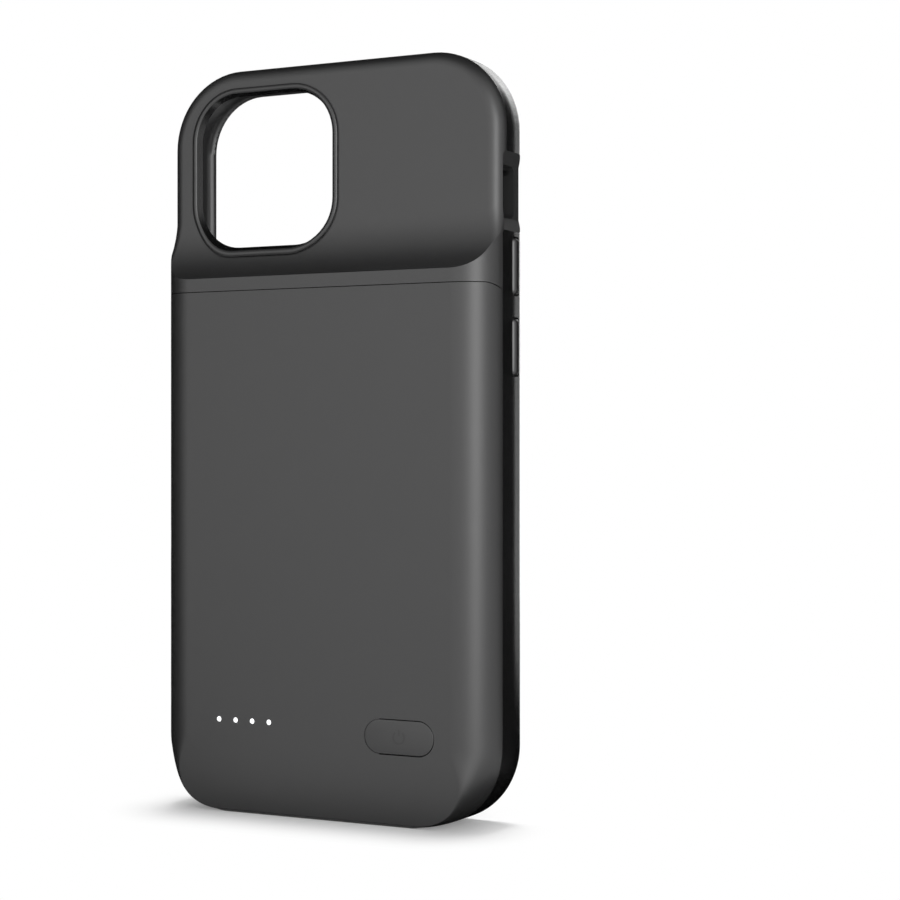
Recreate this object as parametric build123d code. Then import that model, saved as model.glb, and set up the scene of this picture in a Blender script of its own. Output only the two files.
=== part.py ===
from build123d import *
import os
from math import sqrt

# Battery charging case for a pocket phone, in millimetres, standing on its lower end with +Z up.
# X runs to the right as seen from behind, the battery back faces -Y and the phone pocket opens to +Y.

# Phone that the pocket takes
phone_width = 64.2
phone_height = 131.5
phone_depth = 7.65
phone_side_clearance = 0.15
phone_depth_clearance = 0.1
pocket_radius = 11.5

# Soft frame round the phone
side_wall = 3.0
top_wall = 3.0
chin = 5.0
lip_depth = 0.9
lip_overlap = 0.8
front_edge_radius = 2.0
camera_wall = 1.0
camera_edge_radius = 2.7

# Stack behind the pocket, from the phone to the back face
tray_thickness = 0.8
cell_bond = 0.05
cell_depth = 4.0
foam_depth = 0.25
foam_slack = 0.05
cover_wall = 1.2

# Rounded back of the battery section and the concave scoop above it
side_roll = 7.5
bottom_roll = 3.0
bottom_roll_depth = 1.0
corner_share = 0.55
step_below_top = 39.9
scoop_length = 11.0
scoop_section_count = 7
step_edge_radius = 0.6
strip_width = 2.6
seam_gap = 0.15
seam_corner_radius = 2.0
roll_section_count = 7
inner_section_count = 5

# Camera window
window_width = 29.2
window_height = 28.6
window_radius = 8.4
window_draft = 18.0
window_from_side = 21.1
window_below_top = 19.4
rim_width = 1.0
rim_rise = 0.35

# Mute cut-out in the +X wall
mute_below_top = 25.8
mute_length = 9.5
mute_mouth_length = 14.2
mute_height = 5.8
mute_above_floor = 3.45
mute_dish = 0.9

# Keys in the walls
key_height = 2.6
key_proud = 0.45
key_gap = 0.15
key_flange = 0.6
key_flange_thickness = 0.55
key_seat_gap = 0.1
key_travel = 0.4
key_edge_bevel = 0.3
key_above_floor = 5.35
volume_key_length = 10.4
volume_up_below_top = 39.1
volume_down_below_top = 53.6
side_key_length = 17.0
side_key_below_top = 46.9

# Inner tray and the compartment behind it
cavity_wall = 3.25
cavity_floor = 2.4
cavity_roof = 1.1
carrier_gap = 0.12
ledge_width = 1.5
ledge_thickness = 0.8
tray_inset = 0.75
tray_gap = 0.1
tray_top_radius = 3.0

# Cell, its protection board and tabs
cell_side_gap = 1.0
cell_top_gap = 0.6
cell_edge_radius = 1.2
cell_above_board = 3.6
guard_board_width = 26.0
guard_board_height = 2.5
tab_width = 3.5
tab_thickness = 0.15
tab_spacing = 16.0
tab_overlap = 1.0

# Main board and its screws
board_thickness = 0.8
board_side_gap = 3.0
board_floor_gap = 1.0
board_height = 19.0
screw_shank_radius = 0.6
screw_head_radius = 1.25
screw_head_height = 0.6
screw_fit = 0.05
boss_radius = 1.7
screw_inset = 6.0
screw_above_board = 8.0

# Charging socket in the lower end
port_width = 8.94
port_height = 3.2
port_length = 7.3
port_recess = 1.0
port_shell = 0.3
port_gap = 0.1
port_tray_gap = 0.05
port_tongue_width = 6.7
port_tongue_thickness = 0.7
port_tongue_setback = 1.1

# Plug for the phone
plug_width = 6.6
plug_thickness = 1.5
plug_reach = 6.5
plug_root = 1.6
plug_base_width = 18.4
plug_base_depth = 4.2
plug_base_seat = 1.4
plug_base_gap = 0.15
contact_count = 6
contact_width = 0.6
contact_pitch = 0.9
contact_height = 2.6
contact_thickness = 0.06
contact_below_tip = 1.4
ribbon_width = 3.2
ribbon_thickness = 0.2
ribbon_bend = 0.7
ribbon_edge_inset = 0.4
ribbon_above_seat = 1.2
ribbon_run = 5.0
ribbon_gap = 0.35

# Sound slots in the lower end
sound_slot_length = 9.0
sound_slot_width = 1.6
sound_slot_from_middle = 16.0

# Status lights
light_count = 4
light_pitch = 3.66
light_first_from_side = 14.4
light_above_base = 17.3
light_radius = 0.5
light_hole_gap = 0.05
light_bar_thickness = 0.7
light_bar_margin = 1.4
light_rib_thickness = 1.2
light_seat_gap = 0.03
led_width = 1.0
led_length = 1.6
led_height = 0.5
led_gap = 0.1

# Status button and its switch
button_length = 14.1
button_height = 6.2
button_gap = 0.15
button_from_side = 17.65
button_above_base = 16.2
button_recess = 0.05
button_flange = 0.8
button_flange_thickness = 0.4
button_seat_gap = 0.1
button_stem_radius = 1.1
button_stem_length = 0.15
button_travel = 0.35
switch_size = 3.4
switch_height = 0.9
plunger_radius = 0.7
plunger_gap = 0.08
plunger_floor = 0.1

# Parts on the main board
controller_size = 4.0
controller_height = 0.85
controller_from_middle = 9.5
boost_size = 3.0
boost_from_middle = 15.5
inductor_size = 4.6
inductor_height = 1.6
inductor_radius = 0.8
inductor_from_middle = 17.2
chip_row_above_board = 5.0
capacitor_count = 5
capacitor_length = 1.6
capacitor_width = 0.8
capacitor_height = 0.8
capacitor_pitch = 1.6
capacitor_from_middle = 6.2

# Sizes that follow
pocket_width = phone_width + 2 * phone_side_clearance
pocket_height = phone_height + 2 * phone_side_clearance
pocket_depth = phone_depth + phone_depth_clearance
case_width = pocket_width + 2 * side_wall
case_height = chin + pocket_height + top_wall
battery_stack = tray_thickness + cell_bond + cell_depth + foam_depth + foam_slack + cover_wall
case_depth = lip_depth + pocket_depth + battery_stack
side_drop = battery_stack
roll_radius = (side_roll**2 + side_drop**2) / (2 * side_drop)
outline_radius = pocket_radius + side_wall
half_width = case_width / 2
pocket_side = pocket_width / 2
past = 1.0

# Depths along Y
front_y = case_depth / 2
back_y = -case_depth / 2
pocket_front_y = front_y - lip_depth
pocket_floor_y = pocket_front_y - pocket_depth
camera_back_y = pocket_floor_y - camera_wall
phone_middle_y = pocket_floor_y + phone_depth / 2
tray_back_y = pocket_floor_y - tray_thickness
ledge_back_y = tray_back_y - ledge_thickness
crease_y = pocket_floor_y
cover_inner_y = back_y + cover_wall
port_y = tray_back_y - port_tray_gap - port_height / 2
board_front_y = port_y + board_thickness / 2
board_back_y = port_y - board_thickness / 2

# Heights along Z
step_z = case_height - step_below_top
seam_z = step_z - strip_width
cavity_top_z = seam_z - cavity_roof
tray_bottom_z = chin + tray_inset
tray_top_z = cavity_top_z - tray_inset
board_bottom_z = cavity_floor + board_floor_gap
board_top_z = board_bottom_z + board_height
cell_bottom_z = board_top_z + cell_above_board
cell_top_z = tray_top_z - ledge_width - cell_top_gap


def outline(width, bottom, top, radius):
    """A rounded upright rectangle in X and Z, on the middle line."""
    return Pos(0, (bottom + top) / 2) * RectangleRounded(width, top - bottom, radius)


def tray_outline(grow):
    """Wide corners below, where the pocket turns, and small ones above."""
    width = pocket_width - 2 * tray_inset + 2 * grow
    bottom = tray_bottom_z - grow
    top = tray_top_z + grow
    lower = outline(width, bottom, top, pocket_radius - tray_inset + grow)
    return lower + outline(width, (bottom + top) / 2, top, tray_top_radius + grow)


def slab(shape, y_from, y_to):
    """A flat solid of a shape drawn in X and Z, between two depths."""
    return extrude(Plane.XZ.offset(-y_to) * shape, y_to - y_from)


def wall_block(shape, x_from, x_to):
    """A solid of a shape drawn in Y and Z, between two places along X."""
    return extrude(Plane.YZ.offset(x_from) * shape, x_to - x_from)


def upright(shape, z_from, z_to):
    """A solid of a shape drawn in X and Y, between two heights."""
    return extrude(Plane.XY.offset(z_from) * shape, z_to - z_from)


def stadium(length, height):
    """A slot shape with round ends, drawn about its middle."""
    return SlotOverall(length, height)


# Scoop: level sections whose rounded edge sharpens from the camera end down to the step
scoop_step = camera_back_y - back_y
scoop_radius = (scoop_length**2 + scoop_step**2) / (2 * scoop_step)
scoop_top_z = step_z + scoop_length
scoop_reach = scoop_step + past
scoop_fall = sqrt(2 * scoop_reach * scoop_radius - scoop_reach**2)
joint_y = camera_back_y + camera_edge_radius + past / 10


def scoop_section(share):
    """The section at a share of the way down the scoop."""
    fall = share * scoop_fall
    y = camera_back_y - scoop_radius + sqrt(scoop_radius**2 - fall**2)
    radius = camera_edge_radius + share * (step_edge_radius - camera_edge_radius)
    turn = radius * (1 - sqrt(0.5))
    x = half_width
    edge = Polyline((x, y + radius), (x, joint_y), (-x, joint_y), (-x, y + radius))
    edge += ThreePointArc((-x, y + radius), (-x + turn, y + turn), (-x + radius, y))
    edge += Line((-x + radius, y), (x - radius, y))
    edge += ThreePointArc((x - radius, y), (x - turn, y + turn), (x, y + radius))
    return Plane.XY.offset(scoop_top_z - fall) * make_face(edge)


def envelope():
    """Front slab, camera end, scoop and battery section, which meet on flat joints."""
    whole = outline(case_width, 0, case_height, outline_radius)
    room = Rectangle(2 * case_width, 2 * case_width)
    front = slab(whole, joint_y, front_y)
    front = fillet(front.faces().sort_by(Axis.Y)[-1].edges(), front_edge_radius)
    camera_end = slab(whole, camera_back_y, joint_y)
    camera_end = fillet(camera_end.faces().sort_by(Axis.Y)[0].edges(), camera_edge_radius)
    camera_end = camera_end & upright(room, scoop_top_z, case_height + past)
    scoop = loft([scoop_section(n / (scoop_section_count - 1)) for n in range(scoop_section_count)])
    battery_end = slab(whole, back_y - past, joint_y)
    battery_end = battery_end & upright(room, -past, scoop_top_z - scoop_fall)
    return front + camera_end + scoop + battery_end


# Rounded back of the battery section: level sections from the flat back out to the side crease
def back_half(y, skin):
    """Half the width of the rounded back at one depth."""
    rise = back_y + roll_radius - y
    return half_width - side_roll + sqrt(max((roll_radius - skin) ** 2 - rise**2, 0))


def back_section(y, skin, low):
    half = back_half(y, skin)
    corner = outline_radius - skin - corner_share * (half_width - skin - half)
    high = case_height + past
    turn = corner * (1 - sqrt(0.5))
    edge = Polyline((half, low + corner), (half, high), (-half, high), (-half, low + corner))
    edge += ThreePointArc(
        (-half, low + corner), (-half + turn, low + turn), (-half + corner, low)
    )
    edge += Line((-half + corner, low), (half - corner, low))
    edge += ThreePointArc((half - corner, low), (half - turn, low + turn), (half, low + corner))
    return Plane.XZ.offset(-y) * make_face(edge)


def rounded_back(skin, low, count, ruled=False):
    levels = []
    for number in range(count):
        share = number / (count - 1)
        levels.append(back_y + skin + (side_drop - skin) * share**2)
    return loft([back_section(y, skin, low) for y in levels], ruled=ruled)


def cover_zone(grow):
    """The area that the back cover takes, seen from behind."""
    return outline(
        case_width + 2 * seam_gap + 2 * grow,
        -2 * outline_radius,
        seam_z + grow,
        seam_corner_radius + grow,
    )


# Soft frame
window_x = -half_width + window_from_side
window_z = case_height - window_below_top


def window_opening(grow):
    return Pos(window_x, window_z) * RectangleRounded(
        window_width + 2 * grow, window_height + 2 * grow, window_radius + grow
    )


def window_sketch(grow):
    """The opening on the pocket floor, from where its funnel and its rim flare out to the back."""
    return Plane.XZ.offset(-pocket_floor_y) * window_opening(grow)


def mute_cut():
    """A through opening with flared ends, in a shallow dish that crosses the whole wall."""
    middle_z = case_height - mute_below_top
    inner = mute_length / 2
    mouth = mute_mouth_length / 2
    dish_floor = half_width - mute_dish
    dish = Polyline(
        (dish_floor, middle_z - inner),
        (half_width + mute_dish, middle_z - 2 * mouth + inner),
        (half_width + mute_dish, middle_z + 2 * mouth - inner),
        (dish_floor, middle_z + inner),
        close=True,
    )
    floor_y = pocket_floor_y + mute_above_floor - mute_height / 2
    opening = Pos(floor_y + mute_height / 2, middle_z) * RectangleRounded(
        mute_height, mute_length, mute_height / 4
    )
    through = wall_block(opening, pocket_side - past, half_width + past)
    return slab(make_face(dish), floor_y, front_y + past) + through


def key_places():
    """Name, side, length and middle height of each key."""
    return [
        ("volume_up_key", 1, volume_key_length, case_height - volume_up_below_top),
        ("volume_down_key", 1, volume_key_length, case_height - volume_down_below_top),
        ("side_key", -1, side_key_length, case_height - side_key_below_top),
    ]


key_y = pocket_floor_y + key_above_floor
key_inner_x = pocket_side + key_travel + key_gap / 2
key_shoulder_x = key_inner_x + key_flange_thickness


def key_shape(length, grow):
    return Pos(key_y, 0) * RectangleRounded(
        key_height + 2 * grow, length + 2 * grow, key_height / 4 + grow
    )


def flange_shape(length, grow):
    wider = 2 * key_flange + 2 * grow
    return Pos(key_y, 0) * Rectangle(key_height + wider, length + wider)


def key_slot(length):
    slot = wall_block(key_shape(length, key_gap), pocket_side - past, half_width + past)
    seat_end = key_shoulder_x + key_seat_gap
    return slot + wall_block(flange_shape(length, key_gap), pocket_side - past, seat_end)


def pressing_key(length):
    cap = wall_block(key_shape(length, 0), key_inner_x, half_width + key_proud)
    cap = chamfer(cap.faces().sort_by(Axis.X)[-1].edges(), key_edge_bevel)
    return cap + wall_block(flange_shape(length, 0), key_inner_x, key_shoulder_x)


def on_side(shape, side, z):
    """A piece made for the +X wall, at its height on that wall or on the opposite one."""
    if side < 0:
        shape = mirror(shape, about=Plane.YZ)
    return Pos(0, 0, z) * shape


port_shape = Pos(0, port_y) * stadium(port_width, port_height)
plug_base_y = phone_middle_y
ribbon_z = plug_base_seat + ribbon_above_seat
ribbon_x = plug_base_width / 2 - ribbon_edge_inset - ribbon_width / 2


def bumper_frame():
    shell = envelope()
    back = rounded_back(0, -past, roll_section_count)
    ahead_of_crease = slab(
        outline(2 * case_width, -case_height, 2 * case_height, past), crease_y, front_y + past
    )
    shoulder = (shell & back) - slab(cover_zone(seam_gap), back_y - past, crease_y)
    carrier_inset = half_width - back_half(ledge_back_y, cover_wall) + carrier_gap
    carrier = slab(
        outline(
            case_width - 2 * carrier_inset, carrier_inset, seam_z, outline_radius - carrier_inset
        ),
        ledge_back_y,
        crease_y + past,
    )
    frame = (shell & ahead_of_crease) + shoulder + carrier

    rim = extrude(window_sketch(rim_width), battery_stack + past, taper=-window_draft)
    frame += rim & (Pos(0, -rim_rise, 0) * shell)

    frame -= slab(
        outline(pocket_width, chin, chin + pocket_height, pocket_radius),
        pocket_floor_y,
        pocket_front_y,
    )
    frame -= slab(
        outline(
            pocket_width - 2 * lip_overlap,
            chin + lip_overlap,
            chin + pocket_height - lip_overlap,
            pocket_radius - lip_overlap,
        ),
        pocket_front_y - past,
        front_y + past,
    )

    frame -= slab(tray_outline(tray_gap), tray_back_y, pocket_floor_y + past / 2)
    frame -= slab(tray_outline(-ledge_width), ledge_back_y - past / 2, pocket_floor_y)

    frame -= extrude(window_sketch(0), battery_stack + past, taper=-window_draft)
    frame -= slab(window_opening(0), pocket_floor_y - past, pocket_floor_y + past)

    frame -= mute_cut()
    for name, side, length, z in key_places():
        frame -= on_side(key_slot(length), side, z)

    frame -= upright(
        Pos(0, port_y) * stadium(port_width + 2 * port_gap, port_height + 2 * port_gap),
        -past,
        port_recess + port_length + port_gap,
    )
    base_room = Pos(0, plug_base_y) * Rectangle(
        plug_base_width + 2 * plug_base_gap, plug_base_depth + 2 * plug_base_gap
    )
    frame -= upright(base_room, plug_base_seat, chin + past / 2)
    ribbon_room = Pos(ribbon_x, ribbon_z) * Rectangle(
        ribbon_width + 2 * ribbon_gap, ribbon_thickness + 2 * ribbon_gap
    )
    frame -= slab(ribbon_room, ledge_back_y - past / 2, plug_base_y)
    for side in (-1, 1):
        place = Pos(side * sound_slot_from_middle, phone_middle_y)
        slot = place * stadium(sound_slot_length, sound_slot_width)
        frame -= upright(slot, -past, chin + past)
    return frame


# Hard back cover
light_first_x = -half_width + light_first_from_side
button_x = half_width - button_from_side
button_place = Pos(button_x, button_above_base)


def light_places():
    return [Pos(light_first_x + n * light_pitch, light_above_base) for n in range(light_count)]


def bottom_edge():
    """What is taken off the lower back edge to round it, so that the rest of the end stays flat."""
    block = Pos(back_y, 0) * Rectangle(2 * bottom_roll_depth, 2 * bottom_roll)
    round_part = Pos(back_y + bottom_roll_depth, bottom_roll) * Ellipse(bottom_roll_depth, bottom_roll)
    return extrude(Plane.YZ.offset(-case_width) * (block - round_part), 2 * case_width)


def back_cover():
    cover = rounded_back(0, 0, roll_section_count) - bottom_edge()
    cover = cover & slab(cover_zone(0), back_y - past, crease_y - seam_gap)
    cover -= rounded_back(cover_wall, cover_wall, inner_section_count, ruled=True)
    button_hole = button_place * stadium(
        button_length + 2 * button_gap, button_height + 2 * button_gap
    )
    cover -= slab(button_hole, back_y - past, cover_inner_y + past)
    for place in light_places():
        hole = place * Circle(light_radius + light_hole_gap)
        cover -= slab(hole, back_y - past, cover_inner_y + past)
    cover -= upright(
        Pos(0, port_y) * stadium(port_width + 2 * port_gap, port_height + 2 * port_gap),
        -past,
        port_recess + port_length,
    )
    return cover


# Status button and the switch that it works
button_flange_y = cover_inner_y + button_seat_gap
button_stem_y = button_flange_y + button_flange_thickness
plunger_top_y = button_stem_y + button_stem_length
switch_back_y = board_back_y - switch_height
plunger_end_y = board_back_y - plunger_floor - button_travel - plunger_gap


def status_button():
    cap = slab(
        button_place * stadium(button_length, button_height), back_y + button_recess, button_stem_y
    )
    flange = slab(
        button_place * stadium(button_length + 2 * button_flange, button_height + 2 * button_flange),
        button_flange_y,
        button_stem_y,
    )
    stem = slab(button_place * Circle(button_stem_radius), button_flange_y, plunger_top_y)
    return cap + flange + stem


def switch_body():
    case = slab(button_place * Rectangle(switch_size, switch_size), switch_back_y, board_back_y)
    well = slab(
        button_place * Circle(plunger_radius + plunger_gap),
        switch_back_y - past,
        board_back_y - plunger_floor,
    )
    return case - well


def switch_plunger():
    return slab(button_place * Circle(plunger_radius), plunger_top_y, plunger_end_y)


# Light pipe behind the cover and the lights on the board
def light_pipe():
    inner_y = cover_inner_y + light_seat_gap
    row = (light_count - 1) * light_pitch
    middle = Pos(light_first_x + row / 2, light_above_base)
    width = 2 * light_bar_margin
    pipe = slab(middle * stadium(row + width, width), inner_y, inner_y + light_bar_thickness)
    rib_end_y = board_back_y - led_height - led_gap
    pipe += slab(middle * Rectangle(row + width / 2, light_rib_thickness), inner_y, rib_end_y)
    for place in light_places():
        pipe += slab(place * Circle(light_radius), back_y + button_recess, inner_y)
    return pipe


def indicator_leds():
    return [
        slab(place * Rectangle(led_width, led_length), board_back_y - led_height, board_back_y)
        for place in light_places()
    ]


# Tray between pocket and battery, with the bosses that carry the main board
board_width = case_width - 2 * cavity_wall - 2 * board_side_gap
screw_places = [
    Pos(side * (board_width / 2 - screw_inset), board_bottom_z + screw_above_board)
    for side in (-1, 1)
]


def inner_tray():
    tray = slab(tray_outline(0), tray_back_y, pocket_floor_y)
    for place in screw_places:
        tray += slab(place * Circle(boss_radius), board_front_y, tray_back_y)
    for place in screw_places:
        tray -= slab(
            place * Circle(screw_shank_radius + screw_fit), board_front_y - past, tray_back_y
        )
    return tray


def board_screws():
    screws = []
    for place in screw_places:
        head = slab(place * Circle(screw_head_radius), board_back_y - screw_head_height, board_back_y)
        shank_end = tray_back_y - screw_fit
        screws.append(head + slab(place * Circle(screw_shank_radius), board_back_y, shank_end))
    return screws


def main_board():
    corner = outline_radius - cavity_wall - board_side_gap
    board = slab(
        outline(board_width, board_bottom_z, board_top_z, corner), board_back_y, board_front_y
    )
    notch_top = port_recess + port_length + port_gap
    board -= slab(
        outline(port_width + 2 * port_gap, cavity_floor - past, notch_top, port_shell),
        board_back_y - past,
        board_front_y + past,
    )
    for place in screw_places:
        board -= slab(
            place * Circle(screw_shank_radius + screw_fit), board_back_y - past, board_front_y + past
        )
    return board


def on_board(x, z, shape, height):
    """A part that stands on the back of the main board."""
    return slab(Pos(x, z) * shape, board_back_y - height, board_back_y)


chip_z = board_bottom_z + chip_row_above_board


def charge_controller():
    shape = Rectangle(controller_size, controller_size)
    return on_board(controller_from_middle, chip_z, shape, controller_height)


def boost_converter():
    shape = Rectangle(boost_size, boost_size)
    return on_board(boost_from_middle, chip_z, shape, controller_height)


def power_inductor():
    shape = RectangleRounded(inductor_size, inductor_size, inductor_radius)
    return on_board(-inductor_from_middle, chip_z, shape, inductor_height)


def ceramic_capacitors():
    shape = Rectangle(capacitor_width, capacitor_length)
    return [
        on_board(-capacitor_from_middle - n * capacitor_pitch, chip_z, shape, capacitor_height)
        for n in range(capacitor_count)
    ]


# Cell with its protection board, tabs and foam
cell_width = pocket_width - 2 * tray_inset - 2 * ledge_width - 2 * cell_side_gap
cell_front_y = tray_back_y - cell_bond
cell_back_y = cell_front_y - cell_depth


def battery_cell():
    return slab(
        outline(cell_width, cell_bottom_z, cell_top_z, cell_edge_radius), cell_back_y, cell_front_y
    )


def cell_foam_pad():
    inset = 2 * cell_edge_radius
    return slab(
        outline(cell_width - 2 * inset, cell_bottom_z + inset, cell_top_z - inset, cell_edge_radius),
        cell_back_y - foam_depth,
        cell_back_y,
    )


def protection_board():
    shape = Pos(0, cell_bottom_z - guard_board_height / 2) * Rectangle(
        guard_board_width, guard_board_height
    )
    return slab(shape, board_back_y, board_front_y)


def cell_tab(side):
    low = board_top_z - tab_overlap
    high = cell_bottom_z - guard_board_height + tab_overlap
    shape = Pos(side * tab_spacing / 2, (low + high) / 2) * Rectangle(tab_width, high - low)
    return slab(shape, board_back_y - tab_thickness, board_back_y)


# Charging socket
def charge_port_shell():
    low = port_recess
    high = port_recess + port_length
    shell = upright(port_shape, low, high)
    inside = Pos(0, port_y) * stadium(port_width - 2 * port_shell, port_height - 2 * port_shell)
    return shell - upright(inside, low - past, high - port_shell)


def charge_port_tongue():
    shape = Pos(0, port_y) * RectangleRounded(
        port_tongue_width, port_tongue_thickness, port_tongue_thickness / 3
    )
    return upright(shape, port_recess + port_tongue_setback, port_recess + port_length - port_shell)


# Plug that goes into the phone, its base in the chin and the ribbon to the main board
def plug_base():
    block = upright(
        Pos(0, plug_base_y) * Rectangle(plug_base_width, plug_base_depth), plug_base_seat, chin
    )
    slot = Pos(0, plug_base_y) * stadium(plug_width, plug_thickness)
    return block - upright(slot, chin - plug_root, chin + past)


def phone_plug():
    shape = Pos(0, plug_base_y) * stadium(plug_width, plug_thickness)
    plug = upright(shape, chin - plug_root, chin + plug_reach)
    return chamfer(plug.faces().sort_by(Axis.Z)[-1].edges(), plug_thickness / 4)


def plug_contacts():
    contacts = []
    top = chin + plug_reach - contact_below_tip
    for face in (-1, 1):
        y = plug_base_y + face * (plug_thickness + contact_thickness) / 2
        for number in range(contact_count):
            x = (number - (contact_count - 1) / 2) * contact_pitch
            shape = Pos(x, y) * Rectangle(contact_width, contact_thickness)
            contacts.append(upright(shape, top - contact_height, top))
    return contacts


def plug_ribbon():
    start_y = plug_base_y - plug_base_depth / 2
    turn_y = board_front_y + ribbon_thickness / 2
    path = FilletPolyline(
        (start_y, ribbon_z),
        (turn_y, ribbon_z),
        (turn_y, ribbon_z + ribbon_run),
        radius=ribbon_bend,
    )
    strip = Plane.YZ.offset(ribbon_x - ribbon_width / 2) * trace(path, ribbon_thickness)
    return extrude(strip, ribbon_width)


pieces = {
    "bumper_frame": bumper_frame(),
    "back_cover": back_cover(),
    "status_button": status_button(),
    "light_pipe": light_pipe(),
    "inner_tray": inner_tray(),
    "battery_cell": battery_cell(),
    "cell_foam_pad": cell_foam_pad(),
    "protection_board": protection_board(),
    "cell_tab_positive": cell_tab(1),
    "cell_tab_negative": cell_tab(-1),
    "main_board": main_board(),
    "charge_port_shell": charge_port_shell(),
    "charge_port_tongue": charge_port_tongue(),
    "plug_base": plug_base(),
    "phone_plug": phone_plug(),
    "plug_contacts": plug_contacts(),
    "plug_ribbon": plug_ribbon(),
    "indicator_leds": indicator_leds(),
    "switch_body": switch_body(),
    "switch_plunger": switch_plunger(),
    "charge_controller": charge_controller(),
    "boost_converter": boost_converter(),
    "power_inductor": power_inductor(),
    "ceramic_capacitors": ceramic_capacitors(),
    "board_screws": board_screws(),
}
for name, side, length, z in key_places():
    pieces[name] = on_side(pressing_key(length), side, z)

os.makedirs("parts", exist_ok=True)
for name, piece in pieces.items():
    solids = piece if isinstance(piece, list) else [piece]
    shape = Compound(children=solids) if len(solids) > 1 else solids[0]
    export_step(shape, f"parts/{name}.step")
    print(name, round(sum(solid.volume for solid in solids), 2))
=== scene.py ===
# %% [markdown]
# # A battery charging case
# The case is a soft frame round an open pocket, with a hard back that holds a battery. The imported CAD model
# is the fixed frame of this scene: every piece below sits where its solid sits, in metres. The pieces could
# be modelled apart and fitted later, but built on the solids they can't drift. This first step loads the
# solids and puts each one's place into its mesh.

# %% Load the imported case
import math

import bmesh
import bpy
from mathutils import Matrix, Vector


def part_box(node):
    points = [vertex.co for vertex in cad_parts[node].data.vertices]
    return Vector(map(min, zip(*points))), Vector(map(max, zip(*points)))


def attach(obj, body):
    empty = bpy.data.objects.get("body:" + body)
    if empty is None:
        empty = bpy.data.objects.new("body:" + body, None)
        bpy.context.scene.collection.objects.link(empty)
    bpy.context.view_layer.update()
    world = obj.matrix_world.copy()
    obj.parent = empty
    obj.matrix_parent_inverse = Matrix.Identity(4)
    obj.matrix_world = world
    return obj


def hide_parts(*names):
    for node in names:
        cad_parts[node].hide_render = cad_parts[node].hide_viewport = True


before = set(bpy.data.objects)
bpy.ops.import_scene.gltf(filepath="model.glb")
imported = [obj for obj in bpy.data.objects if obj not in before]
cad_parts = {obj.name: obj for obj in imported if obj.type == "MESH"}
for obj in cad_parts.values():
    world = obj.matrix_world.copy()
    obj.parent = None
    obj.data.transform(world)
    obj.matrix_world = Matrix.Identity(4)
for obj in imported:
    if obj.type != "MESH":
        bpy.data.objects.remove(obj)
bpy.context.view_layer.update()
MM = 0.001

# %% [markdown]
# ## Working by hand in code
# An operator acts on whatever is selected, and the loaded nodes come in selected. A mesh could also be built
# from lists of points, but that hides how it was made. So these small helpers do what a hand does between two
# steps: let go of everything, take one object, open it for editing and choose a part of it.


# %% Helpers for taking and editing one object
def let_go():
    if bpy.context.object and bpy.context.object.mode != "OBJECT":
        bpy.ops.object.mode_set(mode="OBJECT")
    bpy.ops.object.select_all(action="DESELECT")


def take(piece):
    let_go()
    piece.select_set(True)
    bpy.context.view_layer.objects.active = piece


def edit(piece, kind, selected="DESELECT"):
    """Open a piece for editing its VERTs, EDGEs or FACEs, with none of them selected, or all."""
    take(piece)
    bpy.ops.object.mode_set(mode="EDIT")
    bpy.ops.mesh.select_mode(type=kind)
    bpy.ops.mesh.select_all(action=selected)


def choose(piece, wanted, kind="edges"):
    """Select in edit mode the verts, edges or faces for which wanted(element) is true."""
    mesh = bmesh.from_edit_mesh(piece.data)
    mesh.normal_update()
    count = 0
    for element in getattr(mesh, kind):
        element.select_set(bool(wanted(element)))
        count += element.select
    mesh.select_flush_mode()
    bmesh.update_edit_mesh(piece.data)
    return count


def smooth(piece, degrees=30):
    take(piece)
    bpy.ops.object.shade_smooth_by_angle(angle=math.radians(degrees))


print("nodes to dress:", len(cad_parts))


# %% Helpers for finished pieces, copies and joined pieces
def settle(piece, name):
    """Put a finished piece's place into its mesh, at the origin, unturned and unscaled."""
    take(piece)
    bpy.ops.object.transform_apply(location=True, rotation=True, scale=True)
    piece.name = name
    piece.data.name = name
    return piece


def copy_of(piece, name, shift):
    """A copy with a mesh of its own, moved by a shift."""
    twin = bpy.data.objects.new(name, piece.data.copy())
    twin.location = shift
    bpy.context.scene.collection.objects.link(twin)
    return settle(twin, name)


def join(pieces):
    """Make several pieces one object, which is the first of them."""
    let_go()
    for piece in pieces:
        piece.select_set(True)
    bpy.context.view_layer.objects.active = pieces[0]
    bpy.ops.object.join()
    return pieces[0]


def spans(edge, axis, length):
    """True for an edge that runs at least a length along an axis."""
    return abs(edge.verts[0].co[axis] - edge.verts[1].co[axis]) > length


X, Y = 0, 1

# %% [markdown]
# ## Grain shared by the moulded parts
# Soft-touch plastic isn't flat: it has a grain finer than a hair, faint cloudiness where the coating is
# thicker, and places that are a trace glossier. It could be drawn in each material, but the frame, the cover,
# the keys and the tray all have some of it, so it is one node group with its own scale inputs.


# %% Helpers for shader nodes
def feed(tree, value, socket):
    """Link a node's output to a socket, or set the socket where the value is a number or a colour."""
    if isinstance(value, bpy.types.NodeSocket):
        tree.links.new(value, socket)
    else:
        socket.default_value = value


def add(tree, kind, **inputs):
    """A node with inputs fed by name, where _ stands for a space in the name."""
    node = tree.nodes.new(kind)
    for name, value in inputs.items():
        feed(tree, value, node.inputs[name.replace("_", " ")])
    return node


def arithmetic(tree, operation, first, second=0.0):
    node = tree.nodes.new("ShaderNodeMath")
    node.operation = operation
    for socket, value in zip(node.inputs, (first, second)):
        feed(tree, value, socket)
    return node.outputs["Value"]


def object_place(tree):
    return tree.nodes.new("ShaderNodeTexCoord").outputs["Object"]


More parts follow.
